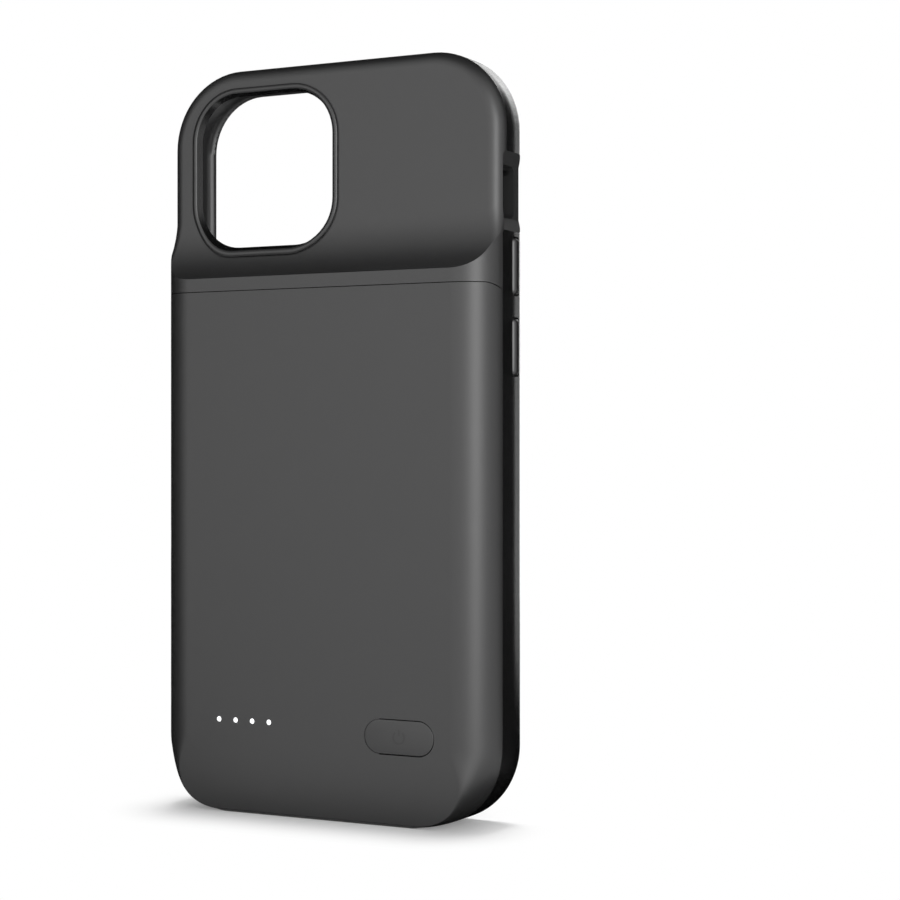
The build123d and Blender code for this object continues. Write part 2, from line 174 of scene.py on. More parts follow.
# %% A helper for node groups
def new_group(name, inputs, outputs):
    """A shader node group of numbers, with its input and output nodes."""
    group = bpy.data.node_groups.new(name, "ShaderNodeTree")
    for socket, value in inputs.items():
        made = group.interface.new_socket(socket, in_out="INPUT", socket_type="NodeSocketFloat")
        made.default_value = value
    for socket in outputs:
        group.interface.new_socket(socket, in_out="OUTPUT", socket_type="NodeSocketFloat")
    return group, group.nodes.new("NodeGroupInput").outputs, group.nodes.new("NodeGroupOutput").inputs


# %% Node group: moulded grain
GRAIN_SCALE, CLOUD_SCALE, RUBS_IN_CLOUD = 5200.0, 45.0, 3.7
RUB_FROM, RUB_TO = 0.56, 0.74
grain, given, result = new_group(
    "moulded_grain", {"Grain Scale": GRAIN_SCALE, "Cloud Scale": CLOUD_SCALE}, ("Height", "Cloud", "Rub")
)
place = object_place(grain)
fine = add(grain, "ShaderNodeTexNoise", Vector=place, Scale=given["Grain Scale"], Detail=2.0)
pits = add(grain, "ShaderNodeTexVoronoi", Vector=place, Scale=given["Grain Scale"])
height = arithmetic(grain, "MULTIPLY", fine.outputs["Fac"], pits.outputs["Distance"])
cloud = add(
    grain, "ShaderNodeTexNoise", Vector=place, Scale=given["Cloud Scale"], Detail=5.0, Roughness=0.62
)
rub_scale = arithmetic(grain, "MULTIPLY", given["Cloud Scale"], RUBS_IN_CLOUD)
rub = add(grain, "ShaderNodeTexNoise", Vector=place, Scale=rub_scale, Detail=8.0, Distortion=1.2)
rub_mask = add(
    grain, "ShaderNodeMapRange", Value=rub.outputs["Fac"], From_Min=RUB_FROM, From_Max=RUB_TO
)
feed(grain, height, result["Height"])
feed(grain, cloud.outputs["Fac"], result["Cloud"])
feed(grain, rub_mask.outputs["Result"], result["Rub"])
print("group", grain.name, "with", len(grain.nodes), "nodes")

# %% [markdown]
# ## Lines shared by the metal parts
# Plated and rolled metal shows fine lines along the way it was drawn. Scratches could be modelled, but they
# are far finer than any mesh. A noise that is squeezed in one direction gives them. The group puts out these
# lines, which drive roughness and bump, and a stain that tints the colour.

# %% Node group: drawn lines
LINE_SCALE, STAIN_SCALE, SQUEEZE = 900.0, 260.0, (1.0, 1.0, 0.04)
drawn, given, result = new_group("drawn_lines", {"Line Scale": LINE_SCALE}, ("Line", "Stain"))
place = object_place(drawn)
squeezed = add(drawn, "ShaderNodeMapping", Vector=place, Scale=SQUEEZE).outputs["Vector"]
lines = add(drawn, "ShaderNodeTexNoise", Vector=squeezed, Scale=given["Line Scale"], Detail=4.0)
stain = add(drawn, "ShaderNodeTexNoise", Vector=place, Scale=STAIN_SCALE, Detail=6.0)
feed(drawn, lines.outputs["Fac"], result["Line"])
feed(drawn, stain.outputs["Fac"], result["Stain"])
print("group", drawn.name, "with", len(drawn.nodes), "nodes")

# %% [markdown]
# ## Moulded finishes
# Frame, cover, keys and tray are all moulded, and differ in colour, gloss and grain. Each could have its own
# set of nodes. One function with a few values makes them all instead, so they stay alike: the colour drifts
# slightly with the cloud, rubs are a little glossier, and the grain feeds a bump. Numbers that are the same
# all over stay on the shader's own sockets.


# %% Parts of a material
MIX_FIRST, MIX_SECOND, MIX_COLOUR = 6, 7, 2


def new_material(name):
    material = bpy.data.materials.new(name)
    material.use_nodes = True
    tree = material.node_tree
    return material, tree, tree.nodes["Principled BSDF"]


def place_group(tree, group, **inputs):
    node = tree.nodes.new("ShaderNodeGroup")
    node.node_tree = group
    for name, value in inputs.items():
        node.inputs[name.replace("_", " ")].default_value = value
    return node.outputs


def blend_colours(tree, share, first, second):
    """A colour that goes from the first to the second as the share goes from 0 to 1."""
    node = add(tree, "ShaderNodeMix", Factor=share)
    node.data_type = "RGBA"
    for number, colour in ((MIX_FIRST, first), (MIX_SECOND, second)):
        linked = isinstance(colour, bpy.types.NodeSocket)
        feed(tree, colour if linked else (*colour, 1.0), node.inputs[number])
    return node.outputs[MIX_COLOUR]


def spread(tree, value, low, high):
    """A 0 to 1 value carried to another range."""
    return add(tree, "ShaderNodeMapRange", Value=value, To_Min=low, To_Max=high).outputs["Result"]


def raise_by(tree, shader, height, strength, depth):
    bump = add(tree, "ShaderNodeBump", Height=height, Strength=strength, Distance=depth)
    feed(tree, bump.outputs["Normal"], shader.inputs["Normal"])


# %% Moulded plastic and rubber
RUB_GLOSS = -0.015


def moulded(name, dark, light, rough, specular, grain_scale=GRAIN_SCALE, bump=0.12, depth=0.02 * MM):
    material, tree, shader = new_material(name)
    detail = place_group(tree, grain, Grain_Scale=grain_scale)
    feed(tree, blend_colours(tree, detail["Cloud"], dark, light), shader.inputs["Base Color"])
    base = spread(tree, detail["Cloud"], *rough)
    worn = arithmetic(tree, "MULTIPLY", detail["Rub"], RUB_GLOSS)
    feed(tree, arithmetic(tree, "ADD", base, worn), shader.inputs["Roughness"])
    shader.inputs["Specular IOR Level"].default_value = specular
    raise_by(tree, shader, detail["Height"], bump, depth)
    return material


def paint_wall_shade(material, shaded_wall_colour, wall_rough):
    """Paint shade on a finish: a darker colour, with a smoother gloss, where the mesh's wall attribute is 1.
    """
    tree = material.node_tree
    colour, rough = (
        tree.nodes["Principled BSDF"].inputs[name] for name in ("Base Color", "Roughness")
    )
    attribute = tree.nodes.new("ShaderNodeAttribute")
    attribute.attribute_name = "wall"
    share = attribute.outputs["Fac"]
    feed(tree, blend_colours(tree, share, colour.links[0].from_socket, shaded_wall_colour), colour)
    mixed = add(tree, "ShaderNodeMix", Factor=share, A=rough.links[0].from_socket, B=wall_rough)
    feed(tree, mixed.outputs["Result"], rough)


# %% The moulded finishes
def grey(level, blue=0.0):
    return level, level, level + blue


SOFT = grey(0.013, 0.0002), grey(0.016, 0.0002)
frame_skin = moulded("frame_skin", *SOFT, (0.44, 0.48), 0.7)
# Painted shade: the walls and the window's flared wall take this darker colour; their lower roughness is real
# gloss.
paint_wall_shade(frame_skin, grey(0.006, 0.0001), 0.27)
cover_skin = moulded("cover_skin", *SOFT, (0.44, 0.48), 0.7)
key_skin = moulded("key_skin", *SOFT, (0.36, 0.42), 0.7)
mark_print = moulded("mark_print", grey(0.007, 0.0001), grey(0.009, 0.0001), (0.48, 0.54), 0.7)
tray_skin = moulded(
    "tray_skin", grey(0.02, 0.001), grey(0.032, 0.001), (0.55, 0.7), 0.35, 2600.0, 0.35, 0.04 * MM
)
socket_skin = moulded("socket_skin", grey(0.012), grey(0.02), (0.4, 0.5), 0.5)
foam_skin = moulded("foam_skin", grey(0.03), grey(0.06), (0.85, 0.95), 0.2, 1400.0, 0.8, 0.1 * MM)
resin_skin = moulded("resin_skin", grey(0.014, 0.001), grey(0.024, 0.001), (0.5, 0.62), 0.4)
ferrite_skin = moulded(
    "ferrite_skin", grey(0.05, 0.002), grey(0.09, 0.004), (0.6, 0.75), 0.4, 2200.0, 0.5, 0.05 * MM
)
fired_skin = moulded("fired_skin", (0.34, 0.25, 0.16), (0.46, 0.36, 0.24), (0.35, 0.45), 0.5)
print("moulded finishes:", len([m for m in bpy.data.materials if m.name.endswith("_skin")]))

# %% [markdown]
# ## Metals, board, foil, film and lights
# These finishes lie inside, or show at the socket, the plug and the four dots. Plain colours would do for
# what is hidden, but a taken-apart case should look right too. Metals take the drawn lines. The board is
# green lacquer over copper: a brick pattern gives traces that show through as paler lines. The cell's foil
# has broader lines, the ribbon is striped amber film, and the dots glow, as they do while the button is held.


# %% Metals
def metal(name, dark, light, rough, line_scale=LINE_SCALE):
    material, tree, shader = new_material(name)
    detail = place_group(tree, drawn, Line_Scale=line_scale)
    feed(tree, blend_colours(tree, detail["Stain"], dark, light), shader.inputs["Base Color"])
    shader.inputs["Metallic"].default_value = 1.0
    feed(tree, spread(tree, detail["Line"], *rough), shader.inputs["Roughness"])
    raise_by(tree, shader, detail["Line"], 0.1, 0.01 * MM)
    return material


nickel_plate = metal("nickel_plate", (0.5, 0.49, 0.46), (0.66, 0.65, 0.62), (0.2, 0.38))
gold_plate = metal("gold_plate", (0.74, 0.5, 0.19), (0.88, 0.64, 0.28), (0.16, 0.3))
cell_foil = metal("cell_foil", grey(0.5, 0.02), grey(0.66, 0.02), (0.3, 0.5), 140.0)
print("metals:", nickel_plate.name, gold_plate.name, cell_foil.name)


# %% Board and ribbon
def cloudy(tree, shader, low, high):
    """Roughness that drifts with the cloud of the moulded grain."""
    cloud = place_group(tree, grain)["Cloud"]
    feed(tree, spread(tree, cloud, low, high), shader.inputs["Roughness"])
    return cloud


def lacquered_board():
    material, tree, shader = new_material("board_lacquer")
    turned = add(
        tree, "ShaderNodeMapping", Vector=object_place(tree), Rotation=(math.radians(90), 0.0, 0.0)
    )
    tracks = add(
        tree, "ShaderNodeTexBrick", Vector=turned.outputs["Vector"], Scale=150.0, Mortar_Size=0.03,
        Mortar_Smooth=0.3, Brick_Width=0.9, Row_Height=0.22,
    ).outputs["Fac"]
    colour = blend_colours(tree, tracks, (0.006, 0.06, 0.026), (0.02, 0.13, 0.06))
    feed(tree, colour, shader.inputs["Base Color"])
    cloudy(tree, shader, 0.22, 0.34)
    raise_by(tree, shader, tracks, 0.3, 0.03 * MM)
    return material


def striped_ribbon():
    material, tree, shader = new_material("amber_ribbon")
    stripes = add(
        tree, "ShaderNodeTexWave", Vector=object_place(tree), Scale=420.0, Distortion=0.0
    ).outputs["Fac"]
    colour = blend_colours(tree, stripes, (0.42, 0.17, 0.02), (0.6, 0.3, 0.05))
    feed(tree, colour, shader.inputs["Base Color"])
    cloudy(tree, shader, 0.2, 0.34)
    raise_by(tree, shader, stripes, 0.2, 0.02 * MM)
    return material


board_lacquer = lacquered_board()
amber_film = striped_ribbon()
print("lacquer and film:", board_lacquer.name, amber_film.name)


# %% Lights
def glowing(name, colour, strength):
    material, tree, shader = new_material(name)
    cloud = cloudy(tree, shader, 0.2, 0.3)
    pale = blend_colours(tree, cloud, [0.92 * part for part in colour], colour)
    feed(tree, pale, shader.inputs["Base Color"])
    feed(tree, pale, shader.inputs["Emission Color"])
    shader.inputs["Emission Strength"].default_value = strength
    return material


light_glow = glowing("light_glow", (0.95, 0.96, 0.97), 1.0)
lamp_cap = glowing("lamp_cap", (0.9, 0.88, 0.76), 0.2)
print("lights:", light_glow.name, lamp_cap.name)

# %% [markdown]
# ## The surfaces of the two shells
# Frame and cover share one outer form: a flat upper end, a hollow that sweeps down to the battery, a battery
# back rolled over at its sides, a window with a rim and a flared wall, and side walls. The solids have that
# form exactly, but their mesh is triangles that shade flat. Averaged normals would leave dull streaks on such
# long triangles. So each surface is also written as a formula here, for its true direction at any place.

# %% Sizes of the surfaces
frame_low, frame_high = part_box("bumper_frame")
HALF_WIDTH, HEIGHT, CORNER = frame_high.x, frame_high.z, 14.5 * MM
BACK, FRONT = frame_low.y, frame_high.y
UPPER_BACK, POCKET_FLOOR = -2.15 * MM, -1.15 * MM
UPPER_EDGE, STEP_EDGE, FRONT_EDGE = 2.7 * MM, 0.6 * MM, 2.0 * MM
STEP_Z, SCOOP_LENGTH, SCOOP_LIP = 99.9 * MM, 11.0 * MM, 1.0 * MM
SCOOP_TOP, SCOOP_DROP = STEP_Z + SCOOP_LENGTH, UPPER_BACK - BACK
SCOOP_RADIUS = (SCOOP_LENGTH**2 + SCOOP_DROP**2) / (2 * SCOOP_DROP)
SCOOP_FALL = math.sqrt(SCOOP_RADIUS**2 - (SCOOP_RADIUS - SCOOP_DROP - SCOOP_LIP) ** 2)
SIDE_ROLL, FOOT_ROLL, CORNER_POWER = 7.5 * MM, 0.6 * MM, 4
ROLL_DROP = POCKET_FLOOR - BACK
ROLL_RADIUS = (SIDE_ROLL**2 + ROLL_DROP**2) / (2 * ROLL_DROP)
WALL_TURN, WALL_LEAN = (1.8 * MM, 5.0 * MM), math.radians(13.0)
WINDOW, WINDOW_HALF, WINDOW_CORNER = Vector((-14.15, 0.0, 120.4)) * MM, (14.6 * MM, 14.3 * MM), 8.4 * MM
WINDOW_DRAFT, RIM_RISE, RIM_WIDTH, RIM_LEAN = math.radians(18.0), 0.35 * MM, 1.0 * MM, 1.1
print("scoop radius", round(SCOOP_RADIUS / MM, 2), "roll radius", round(ROLL_RADIUS / MM, 3), "mm")


# %% Places against a rounded outline
SMALL_STEP, STEEPEST = 0.01 * MM, 0.9999


def clamp(value, low=0.0, high=1.0):
    return min(max(value, low), high)


def outside(x, z, half_x, half_z, corner):
    """Distance out of a rounded rectangle about the origin, negative inside it."""
    across, up = abs(x) - half_x + corner, abs(z) - half_z + corner
    return math.hypot(max(across, 0.0), max(up, 0.0)) + min(max(across, up), 0.0) - corner


def way_out(x, z, *sizes):
    """The direction out of a rounded rectangle, level with its drawing."""
    out_x = outside(x + SMALL_STEP, z, *sizes) - outside(x - SMALL_STEP, z, *sizes)
    out_z = outside(x, z + SMALL_STEP, *sizes) - outside(x, z - SMALL_STEP, *sizes)
    return Vector((out_x, 0.0, out_z)).normalized()


def in_case(x, z):
    """A place and the case's outline, as outside and way_out take them."""
    return x, z - HEIGHT / 2, HALF_WIDTH, HEIGHT / 2, CORNER


def from_window(place):
    """The distance past the window's flared wall, and the direction out of the window."""
    spot = place.x - WINDOW.x, place.z - WINDOW.z, *WINDOW_HALF, WINDOW_CORNER
    flare = (POCKET_FLOOR - place.y) * math.tan(WINDOW_DRAFT)
    return outside(*spot) - flare, way_out(*spot)


print("side is", round(-outside(*in_case(0.0, HEIGHT / 2)) / MM, 2), "mm from the middle")


# %% Depths of the back over X and Z
def rounded_off(radius, short):
    """How far an edge of a radius has fallen where its flat has ended, a little short of its steepest."""
    short = clamp(short, 0.0, STEEPEST * radius)
    return radius - math.sqrt(radius**2 - short**2)


def skin_depth(x, z):
    """The upper end and the scoop, with the edge that sharpens towards the step."""
    share = clamp((SCOOP_TOP - z) / SCOOP_FALL)
    sag = SCOOP_RADIUS - math.sqrt(SCOOP_RADIUS**2 - (share * SCOOP_FALL) ** 2)
    radius = UPPER_EDGE + share * (STEP_EDGE - UPPER_EDGE)
    return UPPER_BACK - sag + rounded_off(radius, radius + outside(*in_case(x, z)))


def rim_depth(x, z):
    return skin_depth(x, z) - RIM_RISE


def roll_depth(x, z):
    """The battery back, rolled over broadly at the sides and tightly round the lower corners and end."""
    spot = in_case(x, z)
    width = FOOT_ROLL + (SIDE_ROLL - FOOT_ROLL) * abs(way_out(*spot).x) ** CORNER_POWER
    return BACK + rounded_off(ROLL_RADIUS, SIDE_ROLL * (1 + outside(*spot) / width))


def depth_normal(depth, place):
    """The outward direction of a depth surface, from small steps along X and Z."""
    x, z = place.x, place.z
    slope_x = (depth(x + SMALL_STEP, z) - depth(x - SMALL_STEP, z)) / (2 * SMALL_STEP)
    slope_z = (depth(x, z + SMALL_STEP) - depth(x, z - SMALL_STEP)) / (2 * SMALL_STEP)
    return Vector((slope_x, -1.0, slope_z)).normalized()


print("back at the middle", round(roll_depth(0.0, HEIGHT / 2) / MM, 2), "mm")


# %% Directions of the rim, the window's wall and the side walls
def rounded_rim(place):
    """The rim's direction, leaning to both of its edges like a bead."""
    past, out = from_window(place)
    return (Vector((0.0, -1.0, 0.0)) + RIM_LEAN * (2 * clamp(past / RIM_WIDTH) - 1) * out).normalized()


def funnel(place):
    """The direction of the window's flared inner wall."""
    out = from_window(place)[1]
    return -out * math.cos(WINDOW_DRAFT) - Vector((0.0, math.sin(WINDOW_DRAFT), 0.0))


def soft_wall(place):
    """The side wall's direction, which turns gently to the front before the rounded front edge."""
    share = clamp((place.y - WALL_TURN[0]) / (WALL_TURN[1] - WALL_TURN[0]))
    rise = clamp((place.y - FRONT + FRONT_EDGE) / FRONT_EDGE)
    start = WALL_LEAN * share * share * (3 - 2 * share)
    angle = start + math.asin(rise) * (1 - start / (math.pi / 2))
    out = way_out(*in_case(place.x, place.z))
    return out * math.cos(angle) + Vector((0.0, math.sin(angle), 0.0))


SURFACES = OTHER, SKIN, RIM, ROLL, WALL, FUNNEL = range(6)
backs = {SKIN: skin_depth, RIM: rim_depth, ROLL: roll_depth}
directions = {
    SKIN: lambda place: depth_normal(skin_depth, place),
    RIM: rounded_rim,
    ROLL: lambda place: depth_normal(roll_depth, place),
    WALL: soft_wall,
    FUNNEL: funnel,
}
print("surfaces", len(directions))

# %% [markdown]
# ## Shading a shell by its surfaces
# A face of the mesh is looked up among the surfaces by its place and direction. Where two surfaces meet, the
# edge is sharp, as it is in the mould, and within a surface every corner takes the true direction. Smoothing
# by an angle alone would blur the rim into the skin. A share stored at the corners marks the walls, which are
# polished and so smoother than the grained back; the same share paints them darker, as shade, more as they
# turn from the back and fully on the window's flared wall.

# %% Faces of the foot and the back
BACKWARD, SAME_WAY, NEAR_BACK = -0.02, 0.94, 0.08 * MM
FOOT_TOP, FOOT_MIDDLE, FOOT_SKIN = 18.0 * MM, 12.0 * MM, 1.1 * MM


def in_foot(middle, facing):
    """True for the outer faces of the back near the case's lower edge and corners."""
    outer = abs(middle.x) > FOOT_MIDDLE or middle.y < BACK + FOOT_SKIN
    return outer and middle.z < FOOT_TOP and facing.y < BACKWARD


def nearest_back(middle, facing):
    """The back surface that a face lies on, or OTHER."""
    best, found = NEAR_BACK, OTHER
    for surface, depth in backs.items():
        normal = depth_normal(depth, middle)
        off = abs(middle.y - depth(middle.x, middle.z)) * abs(normal.y)
        if off < best and normal.dot(facing) > SAME_WAY:
            best, found = off, surface
    return found


# %% Faces of the walls and the window
NEAR_WALL, NEAR_FUNNEL, LIKE_WAY = 0.15 * MM, 0.1 * MM, 0.9


def on_wall(middle, facing):
    inside = -outside(*in_case(middle.x, middle.z))
    if inside > FRONT_EDGE or facing.dot(soft_wall(middle)) < SAME_WAY:
        return False
    rise = max(middle.y - FRONT + FRONT_EDGE, 0.0)
    edge = FRONT_EDGE - math.sqrt(max(FRONT_EDGE**2 - rise**2, 0.0))
    return abs(inside - edge) < NEAR_WALL


def on_funnel(middle, facing):
    near = middle.y < POCKET_FLOOR and abs(from_window(middle)[0]) < NEAR_FUNNEL
    return near and facing.dot(funnel(middle)) > LIKE_WAY


# %% Which surface a face lies on
def surface_of(middle, facing, lowest):
    """The surface of a face, where the shell's back is trusted above a lowest height."""
    found = OTHER
    if facing.y < BACKWARD and middle.z > lowest:
        found = nearest_back(middle, facing)
    elif lowest <= FOOT_TOP and in_foot(middle, facing):
        found = ROLL
    elif facing.y > BACKWARD and on_wall(middle, facing):
        found = WALL
    return FUNNEL if found == OTHER and on_funnel(middle, facing) else found


flat_back = surface_of(Vector((0.0, BACK, HEIGHT / 2)), Vector((0.0, -1.0, 0.0)), FOOT_TOP)
print("the middle of the back is surface", flat_back)

# %% Cut the walls and sharpen the borders
WALL_CUTS = 4


def cut_walls(piece):
    """Give the walls a few lines along their gentle turn, to carry its directions."""
    edit(piece, "VERT")
    for number in range(WALL_CUTS + 1):
        cut = WALL_TURN[0] + number / WALL_CUTS * (WALL_TURN[1] - WALL_TURN[0])
        bpy.ops.mesh.select_all(action="SELECT")
        bpy.ops.mesh.bisect(plane_co=(0.0, cut, 0.0), plane_no=(0.0, 1.0, 0.0))


def sharpen_borders(mesh, kinds):
    work = bmesh.new()
    work.from_mesh(mesh)
    for edge in work.edges:
        if len({kinds[face.index] for face in edge.link_faces}) > 1:
            edge.smooth = False
    work.to_mesh(mesh)
    work.free()


# %% True directions, and the wall share of gloss and painted shade
WALL_SHADE_FADE = -0.14, -0.04


def true_normals(mesh, kinds):
    """Each corner's direction: its surface's own, or the averaged one on other faces."""
    normals = [Vector(corner.vector) for corner in mesh.corner_normals]
    for face, kind in zip(mesh.polygons, kinds):
        if kind != OTHER:
            for loop in face.loop_indices:
                normals[loop] = directions[kind](mesh.vertices[mesh.loops[loop].vertex_index].co)
    return normals


def mark_wall_shade(mesh, kinds, normals):
    # Wall share, for gloss and painted shade: grows as a corner turns from the back, full on the window's
    # wall.
    wall = mesh.attributes.new("wall", "FLOAT", "CORNER")
    for face, kind in zip(mesh.polygons, kinds):
        for loop in face.loop_indices:
            turned = clamp((normals[loop].y - WALL_SHADE_FADE[0]) / (WALL_SHADE_FADE[1] - WALL_SHADE_FADE[0]))
            wall.data[loop].value = {OTHER: 0.0, FUNNEL: 1.0}.get(kind, turned)


# %% Shade a shell
FACE_WEIGHT = 80


def shade_by_surface(piece, lowest):
    cut_walls(piece)
    smooth(piece)
    mesh = piece.data
    kinds = [surface_of(face.center, face.normal, lowest) for face in mesh.polygons]
    sharpen_borders(mesh, kinds)
    take(piece)
    average = piece.modifiers.new("average", "WEIGHTED_NORMAL")
    average.keep_sharp = True
    average.weight = FACE_WEIGHT
    bpy.ops.object.modifier_apply(modifier=average.name)
    normals = true_normals(mesh, kinds)
    mesh.normals_split_custom_set(normals)
    mark_wall_shade(mesh, kinds, normals)
    print(piece.name, "faces: others, skin, rim, roll, wall, funnel", [kinds.count(n) for n in SURFACES])


# %% [markdown]
# ## The soft frame
# The frame is one moulding: walls, lip, window with its raised rim, and the scoop. It could be modelled again
# from a box, and would then fit its neighbours less well, because its shape is exact in the solid. So a copy
# of the solid's mesh is merged and shaded by the surfaces. The rim is shaded as a bead and the walls as
# gently bowed, as a mould leaves them.


# %% The frame's shell
def shell_from(node, name):
    """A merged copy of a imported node."""
    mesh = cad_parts[node].data.copy()
    mesh.materials.clear()
    piece = bpy.data.objects.new(name, mesh)
    bpy.context.scene.collection.objects.link(piece)
    edit(piece, "VERT", "SELECT")
    bpy.ops.mesh.remove_doubles(threshold=0.001 * MM)
    let_go()
    return settle(piece, name)


def finish_shell(piece, material, node, lowest):
    shade_by_surface(piece, lowest)
    piece.data.materials.append(material)
    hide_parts(node)
    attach(piece, "case")


FRAME_BACK_FROM = 90.0 * MM
frame_shell = shell_from("bumper_frame", "frame_shell")
finish_shell(frame_shell, frame_skin, "bumper_frame", FRAME_BACK_FROM)

# %% [markdown]
# ## The hard cover
# The cover is a thin dish that closes the battery section. It rolls over both sides and meets the frame at a
# fine dark gap. It is taken from its solid as the frame is, with two things added. The lower corners
# are brought out to the tight roll of the real moulding, by dividing the faces there and setting their points
# on the formula. And the upper edge gets a tongue, as such covers have, which keeps light out of the gap. A
# strip laid into the gap would do that too, but it would be one more loose piece.

# %% The cover's lower corners and tongue
CORNER_CUTS = 3
TONGUE_FROM, TONGUE_INSET, TONGUE_DRAFT, TONGUE_RISE = 95.0 * MM, 0.45 * MM, 0.02 * MM, 0.14 * MM
UPWARD, LEVEL = 0.3, 0.05


def fill_corners(piece):
    edit(piece, "FACE")
    count = choose(piece, lambda face: in_foot(face.calc_center_median(), face.normal), "faces")
    bpy.ops.mesh.subdivide(number_cuts=CORNER_CUTS)
    mesh = bmesh.from_edit_mesh(piece.data)
    for vert in {vert for face in mesh.faces if face.select for vert in face.verts}:
        vert.co.y = min(vert.co.y, roll_depth(vert.co.x, vert.co.z))
    bmesh.update_edit_mesh(piece.data)
    let_go()
    print("corner faces", count)


def on_upper_edge(face):
    upward = face.normal.z > UPWARD and abs(face.normal.y) < LEVEL
    return upward and face.calc_center_median().z > TONGUE_FROM


def raise_tongue(piece):
    edit(piece, "FACE")
    count = choose(piece, on_upper_edge, "faces")
    bpy.ops.mesh.inset(thickness=TONGUE_INSET)
    bpy.ops.mesh.inset(thickness=TONGUE_DRAFT, depth=TONGUE_RISE)
    let_go()
    print("tongue faces", count)


# %% The cover's shell
cover_shell = shell_from("back_cover", "cover_shell")
fill_corners(cover_shell)
raise_tongue(cover_shell)
finish_shell(cover_shell, cover_skin, "back_cover", FOOT_TOP)

# %% [markdown]
# ## The status button
# The button is a stadium that lies flush in the cover, with a flange behind that keeps it from falling out
# and a stem that reaches the switch. It could be cut from the cover's mesh, but it moves, so it is a piece
# of its own: a cylinder pulled apart into a stadium, its edge rounded, then flange and stem grown inwards.


# %% A stadium pulled from a cylinder
def stadium_block(name, middle, length, height, y_from, y_to, segments=64):
    let_go()
    bpy.ops.mesh.primitive_cylinder_add(
        vertices=segments, radius=height / 2, depth=y_to - y_from,
        location=(middle.x, (y_from + y_to) / 2, middle.z),
        rotation=(math.radians(90), math.pi / segments, 0.0),
    )
    piece = settle(bpy.context.object, name)
    edit(piece, "VERT")
    for side in (-1, 1):
        choose(piece, lambda vert: (vert.co.x - middle.x) * side > 0.0, "verts")
        bpy.ops.transform.translate(value=(side * (length - height) / 2, 0.0, 0.0))
    return piece


# %% Steps and rounded ends
SAME_PLACE = 0.002 * MM


def at(element, axis, place):
    """True for an edge or face that lies wholly at one place along an axis."""
    return all(abs(vert.co[axis] - place) < SAME_PLACE for vert in element.verts)


def grow_step(piece, axis, place, scale, depth):
    """Widen or narrow a copy of the end face, then pull it out by a depth along the axis."""
    edit(piece, "FACE")
    choose(piece, lambda face: at(face, axis, place), "faces")
    end_face = next(face for face in bmesh.from_edit_mesh(piece.data).faces if face.select)
    middle = end_face.calc_center_bounds()
    bpy.ops.mesh.extrude_region_move()
    bpy.ops.transform.resize(value=scale, center_override=middle)
    pull = [0.0, 0.0, 0.0]
    pull[axis] = depth
    bpy.ops.mesh.extrude_region_move(TRANSFORM_OT_translate={"value": pull})


def round_end(piece, axis, place, width, segments=3):
    edit(piece, "EDGE")
    choose(piece, lambda edge: at(edge, axis, place))
    bpy.ops.mesh.bevel(offset=width, segments=segments, affect="EDGES")


# %% Dress a finished piece
def dress(piece, material, body="case", stands_for=None):
    """Normals outwards, smooth shading, a finish, and the body that the piece rides on."""
    edit(piece, "FACE", "SELECT")
    bpy.ops.mesh.normals_make_consistent(inside=False)
    let_go()
    smooth(piece)
    piece.data.materials.clear()
    piece.data.materials.append(material)
    if stands_for:
        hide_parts(stands_for)
    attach(piece, body)
    print(piece.name, "faces", len(piece.data.polygons), "rides", body)


# %% The button
BUTTON, BUTTON_LENGTH, BUTTON_HEIGHT = Vector((17.6, 0.0, 16.2)) * MM, 14.1 * MM, 6.2 * MM
BUTTON_FACE, FLANGE_Y, STEM_Y = BACK + 0.05 * MM, -6.2 * MM, -5.8 * MM
BUTTON_EDGE, WIDER, STEM_SIZE, STEM_LENGTH = 0.12 * MM, 1.6 * MM, 2.2 * MM, 0.15 * MM
flange = 1 + WIDER / BUTTON_LENGTH, 1.0, 1 + WIDER / BUTTON_HEIGHT
stem = STEM_SIZE / (BUTTON_LENGTH + WIDER), 1.0, STEM_SIZE / (BUTTON_HEIGHT + WIDER)
button = stadium_block("button_cap", BUTTON, BUTTON_LENGTH, BUTTON_HEIGHT, BUTTON_FACE, FLANGE_Y)
round_end(button, Y, BUTTON_FACE, BUTTON_EDGE)
grow_step(button, Y, FLANGE_Y, flange, STEM_Y - FLANGE_Y)
grow_step(button, Y, STEM_Y, stem, STEM_LENGTH)
dress(button, cover_skin, "status_button", "status_button")

# %% [markdown]
# ## The power sign and the fading slit
# The slit round the button is dark on three sides and all but closed round its left end, and a plain power
# sign is barely darker than the button. Both could be painted by the material, but a thin raised print and a
# real web keep their edges crisp. They are strips swept round a centre: a small rectangle is spun about the
# button's axis, once for the broken ring of the sign and once for the filled left end of the slit.


# %% Strips swept round the button's axis
def swept_strip(name, middle, radius, width, y_from, y_to, first, sweep, steps):
    """A rectangle across the ring, spun about the Y axis from one angle through another."""
    let_go()
    bpy.ops.mesh.primitive_plane_add(
        size=1.0, location=(middle.x + radius, (y_from + y_to) / 2, middle.z)
    )
    strip = bpy.context.object
    strip.scale = (width, y_to - y_from, 1.0)
    settle(strip, name)
    edit(strip, "VERT", "SELECT")
    bpy.ops.transform.rotate(value=math.radians(first), orient_axis="Y", center_override=middle)
    bpy.ops.mesh.spin(steps=steps, angle=math.radians(sweep), center=middle, axis=(0.0, 1.0, 0.0))
    bpy.ops.mesh.select_all(action="SELECT")
    bpy.ops.mesh.remove_doubles(threshold=0.0005 * MM)
    let_go()
    return strip


# %% A cube at its size
def block(name, middle, size):
    """A cube of a size, ready to be shaped."""
    let_go()
    bpy.ops.mesh.primitive_cube_add(size=1.0, location=middle)
    piece = bpy.context.object
    piece.scale = size
    return settle(piece, name)


